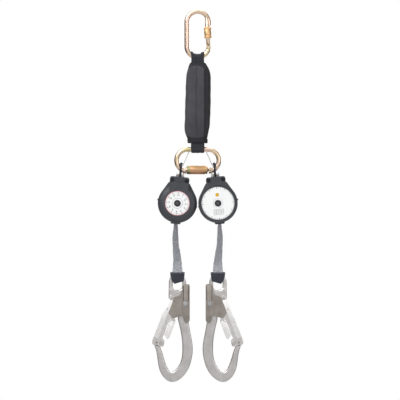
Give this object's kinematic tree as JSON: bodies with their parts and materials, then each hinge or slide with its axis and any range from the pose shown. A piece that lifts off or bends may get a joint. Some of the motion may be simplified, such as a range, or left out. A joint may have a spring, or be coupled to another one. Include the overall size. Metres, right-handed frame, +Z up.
{
  "type": "self retracting lifeline",
  "caption": "Twin-leg self retracting lifeline: carabiner, energy absorber and two small webbing reels with scaffold hooks.",
  "frame": {"origin": "inside top of the top carabiner, where the anchor bears", "axes": "+Z up, -Y the front of the left reel, +X to the right seen from the front"},
  "size_m": [0.2042, 0.0482, 0.839],
  "materials": {
    "plated_steel": "yellow-pink zinc plating, satin",
    "sleeve_metal": "plated, knurled",
    "pin_steel": "bright",
    "cover_fabric": "coated woven fabric, matt",
    "black_webbing": "woven webbing",
    "housing_plastic": "fine moulded texture",
    "label_film": "satin film",
    "dark_screw": "blackened",
    "bright_steel": "zinc plated",
    "drum_aluminium": "turned",
    "grey_webbing": "woven polyester webbing",
    "forged_aluminium": "forged, satin",
    "gate_steel": "folded sheet, satin",
    "lever_steel": "folded sheet, satin"
  },
  "bodies": {
    "top_carabiner": {"top_carabiner_body": "plated_steel", "top_carabiner_pin": "pin_steel"},
    "top_gate": {"top_carabiner_gate": "plated_steel"},
    "top_sleeve": {"top_carabiner_sleeve": "sleeve_metal"},
    "absorber": {"absorber_cover": "cover_fabric", "absorber_tear_webbing": "black_webbing", "absorber_upper_loop": "black_webbing", "absorber_lower_loop": "black_webbing"},
    "lower_carabiner": {"lower_carabiner_body": "plated_steel", "lower_carabiner_pin": "pin_steel", "left_keeper_wire": "pin_steel", "right_keeper_wire": "pin_steel"},
    "lower_gate": {"lower_carabiner_gate": "plated_steel"},
    "lower_sleeve": {"lower_carabiner_sleeve": "sleeve_metal"},
    "left_unit": {"left_front_cover": "housing_plastic", "left_rear_cover": "housing_plastic", "left_labels": "label_film", "left_hub_caps": "dark_screw", "left_cover_screws": "dark_screw", "left_load_bracket": "bright_steel", "left_anchor_loop": "black_webbing", "left_anchor_pin": "bright_steel", "left_axle": "bright_steel", "left_ratchet_ring": "bright_steel", "left_power_spring": "bright_steel", "left_exit_guide": "housing_plastic"},
    "left_drum": {"left_drum": "drum_aluminium", "left_wound_webbing": "grey_webbing"},
    "left_pawl_1": {"left_pawl_1": "bright_steel"},
    "left_pawl_2": {"left_pawl_2": "bright_steel"},
    "left_line": {"left_lifeline_webbing": "grey_webbing"},
    "left_hook": {"left_end_loop": "grey_webbing", "left_wear_pad": "black_webbing", "left_hook_body": "forged_aluminium", "left_hook_rivets": "bright_steel"},
    "left_hook_gate": {"left_hook_gate": "gate_steel"},
    "left_hook_lever": {"left_hook_lever": "lever_steel"},
    "right_unit": {"right_front_cover": "housing_plastic", "right_rear_cover": "housing_plastic", "right_labels": "label_film", "right_hub_caps": "dark_screw", "right_cover_screws": "dark_screw", "right_load_bracket": "bright_steel", "right_anchor_loop": "black_webbing", "right_anchor_pin": "bright_steel", "right_axle": "bright_steel", "right_ratchet_ring": "bright_steel", "right_power_spring": "bright_steel", "right_exit_guide": "housing_plastic"},
    "right_drum": {"right_drum": "drum_aluminium", "right_wound_webbing": "grey_webbing"},
    "right_pawl_1": {"right_pawl_1": "bright_steel"},
    "right_pawl_2": {"right_pawl_2": "bright_steel"},
    "right_line": {"right_lifeline_webbing": "grey_webbing"},
    "right_hook": {"right_end_loop": "grey_webbing", "right_wear_pad": "black_webbing", "right_hook_body": "forged_aluminium", "right_hook_rivets": "bright_steel"},
    "right_hook_gate": {"right_hook_gate": "gate_steel"},
    "right_hook_lever": {"right_hook_lever": "lever_steel"}
  },
  "joints": [
    {"name": "top_gate_hinge", "type": "hinge", "parent": "top_carabiner", "child": "top_gate", "pos_m": [0.0242, 0, -0.0756], "axis": [0, -1, 0], "range_deg": [0, 25], "stiffness_Nm_per_rad": 0.05, "springref_deg": -34.38},
    {"name": "top_sleeve_travel", "type": "slide", "parent": "top_gate", "child": "top_sleeve", "axis": [-0.0504, 0, 0.9987], "range_m": [-0.008, 0.004]},
    {"name": "absorber_sway", "type": "hinge", "parent": "top_carabiner", "child": "absorber", "pos_m": [0, 0, -0.0732], "axis": [0, 1, 0], "range_deg": [-25, 25]},
    {"name": "lower_carabiner_swing", "type": "hinge", "parent": "absorber", "child": "lower_carabiner", "pos_m": [0, 0, -0.305], "axis": [1, 0, 0], "range_deg": [-45, 45]},
    {"name": "lower_gate_hinge", "type": "hinge", "parent": "lower_carabiner", "child": "lower_gate", "pos_m": [0.029, 0, -0.3512], "axis": [0, 1, 0], "range_deg": [0, 20], "stiffness_Nm_per_rad": 0.06, "springref_deg": -45.84},
    {"name": "lower_sleeve_twist", "type": "hinge", "parent": "lower_gate", "child": "lower_sleeve", "pos_m": [0.029, 0, -0.3512], "axis": [-1, 0, 0.0034], "range_deg": [0, 75], "stiffness_Nm_per_rad": 0.02, "springref_deg": -22.92},
    {"name": "left_unit_swing", "type": "hinge", "parent": "lower_carabiner", "child": "left_unit", "pos_m": [-0.03788, 0, -0.34786], "axis": [1, 0, 0], "range_deg": [-60, 60]},
    {"name": "left_pay_out", "type": "slide", "parent": "left_unit", "child": "left_line", "axis": [0, 0, -1], "range_m": [0, 1.8], "stiffness_N_per_m": 3, "springref_m": -4, "deforming": ["left_lifeline_webbing"]},
    {"name": "left_drum_spin", "type": "hinge", "parent": "left_unit", "child": "left_drum", "pos_m": [-0.0454, 0, -0.426], "axis": [0, 1, 0], "continuous": true},
    {"name": "left_pawl_1_swing", "type": "hinge", "parent": "left_drum", "child": "left_pawl_1", "pos_m": [-0.0235, 0, -0.42811], "axis": [0, 1, 0], "range_deg": [0, 12], "stiffness_Nm_per_rad": 0.0005, "springref_deg": -28.65},
    {"name": "left_pawl_2_swing", "type": "hinge", "parent": "left_drum", "child": "left_pawl_2", "pos_m": [-0.0673, 0, -0.42389], "axis": [0, 1, 0], "range_deg": [0, 12], "stiffness_Nm_per_rad": 0.0005, "springref_deg": -28.65},
    {"name": "left_hook_swing", "type": "hinge", "parent": "left_line", "child": "left_hook", "pos_m": [-0.0455, 0, -0.56462], "axis": [1, 0, 0], "range_deg": [-60, 60]},
    {"name": "left_hook_gate_hinge", "type": "hinge", "parent": "left_hook", "child": "left_hook_gate", "pos_m": [-0.0581, 0, -0.64], "axis": [0, -1, 0], "range_deg": [0, 28], "stiffness_Nm_per_rad": 0.15, "springref_deg": -40.11},
    {"name": "left_hook_lever_hinge", "type": "hinge", "parent": "left_hook", "child": "left_hook_lever", "pos_m": [-0.0275, 0, -0.6515], "axis": [0, -1, 0], "range_deg": [0, 6], "stiffness_Nm_per_rad": 0.8, "springref_deg": -17.19},
    {"name": "right_unit_swing", "type": "hinge", "parent": "lower_carabiner", "child": "right_unit", "pos_m": [0.03788, 0, -0.34786], "axis": [1, 0, 0], "range_deg": [-60, 60]},
    {"name": "right_pay_out", "type": "slide", "parent": "right_unit", "child": "right_line", "axis": [0, 0, -1], "range_m": [0, 1.8], "stiffness_N_per_m": 3, "springref_m": -4, "deforming": ["right_lifeline_webbing"]},
    {"name": "right_drum_spin", "type": "hinge", "parent": "right_unit", "child": "right_drum", "pos_m": [0.0454, 0, -0.426], "axis": [0, -1, 0], "continuous": true},
    {"name": "right_pawl_1_swing", "type": "hinge", "parent": "right_drum", "child": "right_pawl_1", "pos_m": [0.0235, 0, -0.42811], "axis": [0, -1, 0], "range_deg": [0, 12], "stiffness_Nm_per_rad": 0.0005, "springref_deg": -28.65},
    {"name": "right_pawl_2_swing", "type": "hinge", "parent": "right_drum", "child": "right_pawl_2", "pos_m": [0.0673, 0, -0.42389], "axis": [0, -1, 0], "range_deg": [0, 12], "stiffness_Nm_per_rad": 0.0005, "springref_deg": -28.65},
    {"name": "right_hook_swing", "type": "hinge", "parent": "right_line", "child": "right_hook", "pos_m": [0.0455, 0, -0.56462], "axis": [1, 0, 0], "range_deg": [-60, 60]},
    {"name": "right_hook_gate_hinge", "type": "hinge", "parent": "right_hook", "child": "right_hook_gate", "pos_m": [0.0581, 0, -0.64], "axis": [0, 1, 0], "range_deg": [0, 28], "stiffness_Nm_per_rad": 0.15, "springref_deg": -40.11},
    {"name": "right_hook_lever_hinge", "type": "hinge", "parent": "right_hook", "child": "right_hook_lever", "pos_m": [0.0275, 0, -0.6515], "axis": [0, 1, 0], "range_deg": [0, 6], "stiffness_Nm_per_rad": 0.8, "springref_deg": -17.19}
  ],
  "couplings": [
    {"joint": "left_drum_spin", "follows": "left_pay_out", "rad_per_m": 41.888},
    {"joint": "left_pawl_2_swing", "follows": "left_pawl_1_swing", "ratio": 1},
    {"joint": "right_drum_spin", "follows": "right_pay_out", "rad_per_m": 41.888},
    {"joint": "right_pawl_2_swing", "follows": "right_pawl_1_swing", "ratio": 1}
  ]
}
